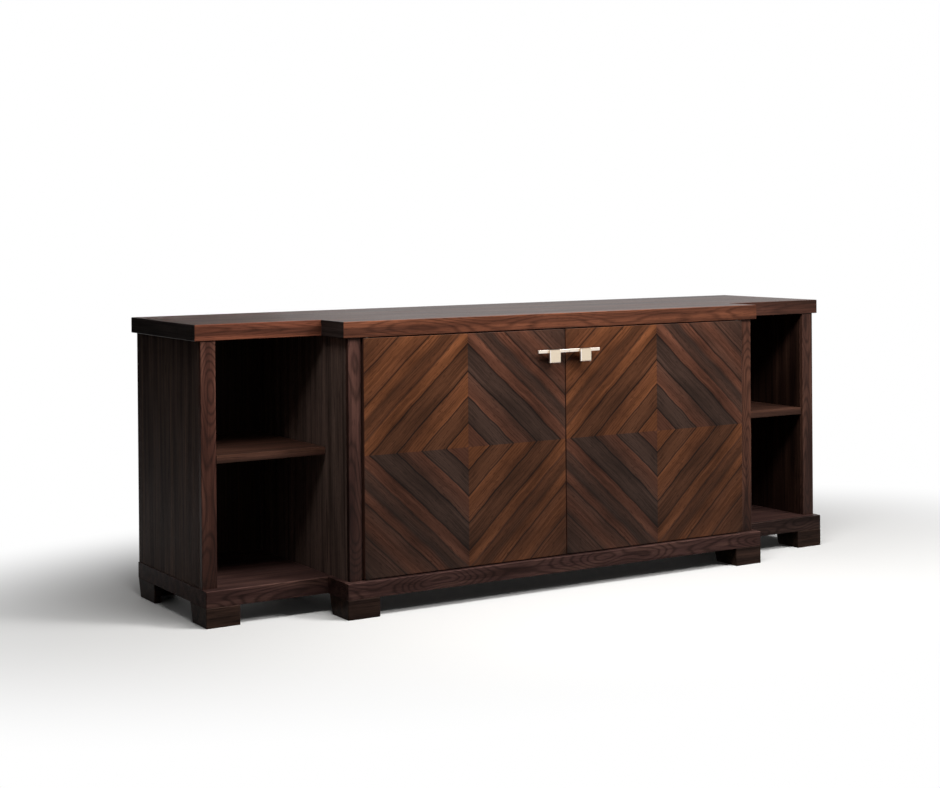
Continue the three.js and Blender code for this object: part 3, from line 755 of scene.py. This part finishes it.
def makeTop():
    panelHigh = corners("top_panel")[1]
    frontLow, frontHigh = corners("top_centre_lipping")
    wingLow, wingHigh = corners("top_right_wing_lipping")
    endHigh = corners("top_right_end_lipping")[1]
    # Plan of the right half, from the front corner of the centre round to the rear of the end
    outer = np.array([(frontHigh[0], frontLow[1]), (frontHigh[0], wingLow[1]),
                      (endHigh[0], wingLow[1]), (endHigh[0], endHigh[1])])
    inner = np.array([(wingLow[0], frontHigh[1]), (wingLow[0], wingHigh[1]),
                      (panelHigh[0], wingHigh[1]), (panelHigh[0], endHigh[1])])
    acrossFront = np.array([(-1, 1), (1, 1)])
    lipping("top_centre_lipping", outer[0] * acrossFront, inner[0] * acrossFront, edgeX)
    for hand, side in hands.items():
        mirrored = np.array([side, 1])
        for i, edge in enumerate(("return", "wing", "end")):
            finish = wingEdge[hand] if edge == "wing" else deepEdge[hand]
            outerEdge = outer[i:i + 2] * mirrored
            innerEdge = inner[i:i + 2] * mirrored
            lipping(f"top_{hand}_{edge}_lipping", outerEdge, innerEdge, finish)


makeTop()
nodes["top_panel"].data.materials[0] = topX
nodes["base_panel"].data.materials[0] = plinthX["centre"]

# Plinth lippings and stiles are made again with eased edges, and the other pieces of the carcass stay as
# in the CAD; a stile's ends are butted, so they are hardly eased
easeSet = {"plinth": 1.6, "stile": 1.4, "stileEnd": 0.2, "foot": 1.6, "door": 1.2}
for spot, finish in plinthX.items():
    node = f"base_{spot}_lipping"
    piece = easedBlock(node + "_eased", *corners(node), easeSet["plinth"] * mm)
    own(piece, finish, "carcass", "edge_walnut", node)
for hand in hands:
    for spot in (f"{hand}_end", f"{hand}_door"):
        node = spot + "_stile"
        low, high = corners(node)
        piece = easedBlock(node + "_eased", low, high, easeSet["stileEnd"] * mm, easeSet["stile"] * mm)
        own(piece, stileZ[spot], "carcass", "edge_walnut", node)
    finishes = {"end_panel": endZ[hand], "partition": partitionZ[hand], "wing_back": innerZ,
                "wing_shelf": shelfX, "centre_shelf": shelfX, "catch": brownPlastic}
    for part, finish in finishes.items():
        nodes[f"{hand}_{part}"].data.materials[0] = finish
nodes["centre_back"].data.materials[0] = innerZ
nodes["centre_divider"].data.materials[0] = innerZ
for name, node in nodes.items():
    if "hinge" in name or name.endswith("_wire") or "strike" in name:
        node.data.materials[0] = darkSteel
print("carcass dressed")

# Feet: blocks in front, brackets of two boards at the rear, their rear faces leaning in towards the floor
footSet = {"lean": 15.0, "board": 20.0}


def footPlan(low, high, side, rear, s):
    if not rear:
        return rectangle(low, high)
    board = s["board"] * mm
    inside = high[1] - s["lean"] * mm - board
    if side < 0:
        return [(low[0], low[1]), (low[0] + board, low[1]), (low[0] + board, inside), (high[0], inside),
                (high[0], high[1]), (low[0], high[1])]
    return [(high[0] - board, low[1]), (high[0], low[1]), (high[0], high[1]), (low[0], high[1]),
            (low[0], inside), (high[0] - board, inside)]


def makeFeet(s):
    ease = easeSet["foot"] * mm
    for hand, side in hands.items():
        for spot in ("end_front", "end_rear", "centre_front", "centre_rear"):
            node = f"{hand}_{spot}_foot"
            low, high = corners(node)
            outline = footPlan(low, high, side, spot.endswith("rear"), s)
            plan = roundCorners(outline, ease * blockSet["cornerRatio"])
            rings, highlightMask = easedRings(plan, low[2], high[2], ease)
            # The rear face leans: points behind the rear board's middle move forwards as they go down
            behind = rings[..., 1] > high[1] - s["board"] * mm / 2
            rings[..., 1] -= behind * s["lean"] * mm * (high[2] - rings[..., 2]) / (high[2] - low[2])
            own(skin(node + "_eased", rings, highlightMask), footX, "carcass", "edge_walnut", node)


makeFeet(footSet)
print("feet made")

# Doors: veneer on the face only; the edges and the back, whose normals point less to the front than this,
# are plain straight-grained walnut
doorSet = {"frontNormal": -0.3, "endClearance": 0.2}


def makeDoors(s):
    for hand in hands:
        low, high = corners(f"{hand}_door_panel")
        middle = (low + high) / 2
        middle[2] += veneerSet["rise"] * mm
        low[2] += s["endClearance"] * mm
        high[2] -= s["endClearance"] * mm
        piece = facingBlock(f"{hand}_door_veneered", low, high, easeSet["door"] * mm)
        veneer = diamondVeneer(f"diamondVeneer_{hand}", tuple(middle))
        own(piece, veneer, f"{hand}_door", "door_veneer", f"{hand}_door_panel")
        piece.data.materials.append(backZ)
        facing = np.empty(len(piece.data.polygons) * 3, np.float32)
        piece.data.polygons.foreach_get("normal", facing)
        plain = facing.reshape(-1, 3)[:, 1] > s["frontNormal"]
        piece.data.polygons.foreach_set("material_index", plain.astype(np.int32))


makeDoors(doorSet)
print("doors made")

# Pulls: a square bar on two posts, with a bevelled square tab hung in front of it. The tab's upper edge
# is drawn in by a share of its bevel; a post has a foot, a small collar and a neck that runs into the bar
pullSet = {"bar": 8.2, "barDepth": 8.0, "barEase": 0.5, "tab": (35.5, 35.2), "tabThick": 8.0,
           "tabBevel": 2.0, "tabSoft": 0.4, "tabHeadShare": 0.125, "postSpacing": 64.0, "postSides": 32,
           "postFoot": 4.0, "footRise": 1.2, "collar": 3.8, "collarRise": 2.0, "neck": 3.4,
           "neckRise": 2.8, "sunk": 1.0}


def eitherSide(middle, spacing):  # the two places that are this many millimetres apart about a middle
    return middle + np.array([-0.5, 0.5]) * spacing * mm


def turned(name, profile, place, axis, sides):
    # A profile of (radius, height) in millimetres revolved about an axis that starts at a place:
    # place + height * axis + radius * (cos a * u + sin a * v)
    angle = np.linspace(0, 2 * math.pi, sides, endpoint=False)[None, :, None]
    w = np.array(axis, float)
    u = np.array([1.0, 0.0, 0.0])
    v = np.cross(w, u)
    radius, height = np.array(profile, float).T[:, :, None, None] * mm
    return skin(name, np.array(place) + height * w + radius * (np.cos(angle) * u + np.sin(angle) * v))


def tabRings(edges, back, face, s):
    # Rectangles stacked from the back to the face, drawn in on three sides to make the bevel, whose two
    # rings carry a painted highlight
    bevel = s["tabBevel"] * mm
    soft = s["tabSoft"] * mm
    depth = np.array([back, face + bevel + soft, face + bevel, face + soft, face])
    drawn = np.array([0, 0, soft / 2, bevel - soft / 2, bevel])
    arrisHighlight = [0.0, 0.0, 1.0, 1.0, 0.0]
    left, right, foot, head = edges
    outlines = [rectangle((left + d, foot + d), (right - d, head - d * s["tabHeadShare"])) for d in drawn]
    flat = np.stack([roundCorners(outline, soft) for outline in outlines])
    levels = np.broadcast_to(depth[:, None], flat.shape[:2])
    return np.stack([flat[..., 0], levels, flat[..., 1]], -1), np.repeat(arrisHighlight, flat.shape[1])


def makePulls(s):
    for hand in hands:
        body = f"{hand}_door"
        low, high = corners(f"{hand}_pull")
        barFront = low[1] + s["tabThick"] * mm
        barBack = barFront + s["barDepth"] * mm
        barLow = (low[0], barFront, high[2] - s["bar"] * mm)
        barHigh = (high[0], barBack, high[2])
        bar = facingBlock(f"{hand}_pull_bar", barLow, barHigh, s["barEase"] * mm)
        own(bar, nickel, body, "satin_nickel", f"{hand}_pull")
        middle = (low[0] + high[0]) / 2
        width, height = np.array(s["tab"]) * mm
        edges = (middle - width / 2, middle + width / 2, high[2] - height, high[2])
        tab = skin(f"{hand}_pull_tab", *tabRings(edges, barFront, low[1], s))
        own(tab, brushedNickel, body, "satin_nickel")
        reach = (high[1] - barBack) / mm + s["sunk"]
        profile = [(s["postFoot"], 0), (s["postFoot"], s["footRise"]), (s["collar"], s["collarRise"]),
                   (s["neck"], s["neckRise"]), (s["neck"], reach)]
        for i, x in enumerate(eitherSide(middle, s["postSpacing"])):
            place = (x, high[1], high[2] - s["bar"] / 2 * mm)
            post = turned(f"{hand}_pull_post_{i + 1}", profile, place, (0, -1, 0), s["postSides"])
            own(post, nickel, body, "satin_nickel")


makePulls(pullSet)
print("pulls made")

# Screws: domed heads with a round socket, on the hinge leaves, the strike plates and behind the pulls.
# Leaf spots are from the leaf's tail, the rim is sunk a little, and the socket narrows by its draught
screwSet = {"leaf": {"radius": 2.6, "rise": 0.25, "socket": 1.1, "sink": 0.2},
            "strike": {"radius": 2.4, "rise": 0.25, "socket": 1.0, "sink": 0.2},
            "pull": {"radius": 5.5, "rise": 2.2, "socket": 2.2, "sink": 1.4},
            "leafSpots": (10.0, 24.0), "strikeSpread": 24.0, "dome": 8, "sides": 32,
            "rim": 0.1, "draught": 0.15}


def screw(name, kind, place, axis, body):
    # Dome r sin t, rise cos t from rim to socket mouth, then the socket's wall and floor
    k = screwSet[kind]
    mouth = math.asin(k["socket"] / k["radius"])
    t = np.linspace(math.pi / 2, mouth, screwSet["dome"])
    dome = np.column_stack([k["radius"] * np.sin(t), k["rise"] * np.cos(t)])
    floor = dome[-1] - [screwSet["draught"], k["sink"]]
    profile = np.concatenate([[[k["radius"], -screwSet["rim"]]], dome, [floor]])
    own(turned(name, profile, place, axis, screwSet["sides"]), darkSteel, body, "hardware_steel")


def hingeLeaves(hand):
    # Each leaf's body, the way its screws face and the level of its seat: the door's ends, the underside
    # of the top and the base's upper face
    door = f"{hand}_door"
    return {"upper_hinge_door_leaf": (door, 1, corners(f"{hand}_upper_hinge_door_leaf")[1][2]),
            "lower_hinge_door_leaf": (door, -1, corners(f"{hand}_lower_hinge_door_leaf")[0][2]),
            "upper_hinge_frame_leaf": ("carcass", -1, corners("top_panel")[0][2]),
            "lower_hinge_frame_leaf": ("carcass", 1, corners("base_panel")[1][2])}


def makeScrews(s):
    for hand, side in hands.items():
        door = f"{hand}_door"
        for leaf, (body, up, level) in hingeLeaves(hand).items():
            low, high = corners(f"{hand}_{leaf}")
            tail = high[0] if side < 0 else low[0]
            for i, spot in enumerate(s["leafSpots"]):
                place = (tail + side * spot * mm, (low[1] + high[1]) / 2, level)
                screw(f"{hand}_{leaf}_screw_{i + 1}", "leaf", place, (0, 0, up), body)
        low, high = corners(f"{hand}_strike_plate")
        middle = (low + high) / 2
        for i, x in enumerate(eitherSide(middle[0], s["strikeSpread"])):
            screw(f"{hand}_strike_screw_{i + 1}", "strike", (x, high[1], middle[2]), (0, 1, 0), door)
        low, high = corners(f"{hand}_pull")
        doorBack = corners(f"{hand}_door_panel")[1][1]
        barMiddle = high[2] - pullSet["bar"] / 2 * mm
        for i, x in enumerate(eitherSide((low[0] + high[0]) / 2, pullSet["postSpacing"])):
            screw(f"{hand}_pull_screw_{i + 1}", "pull", (x, doorBack, barMiddle), (0, 1, 0), door)


makeScrews(screwSet)
print("screws made")

low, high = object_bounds()
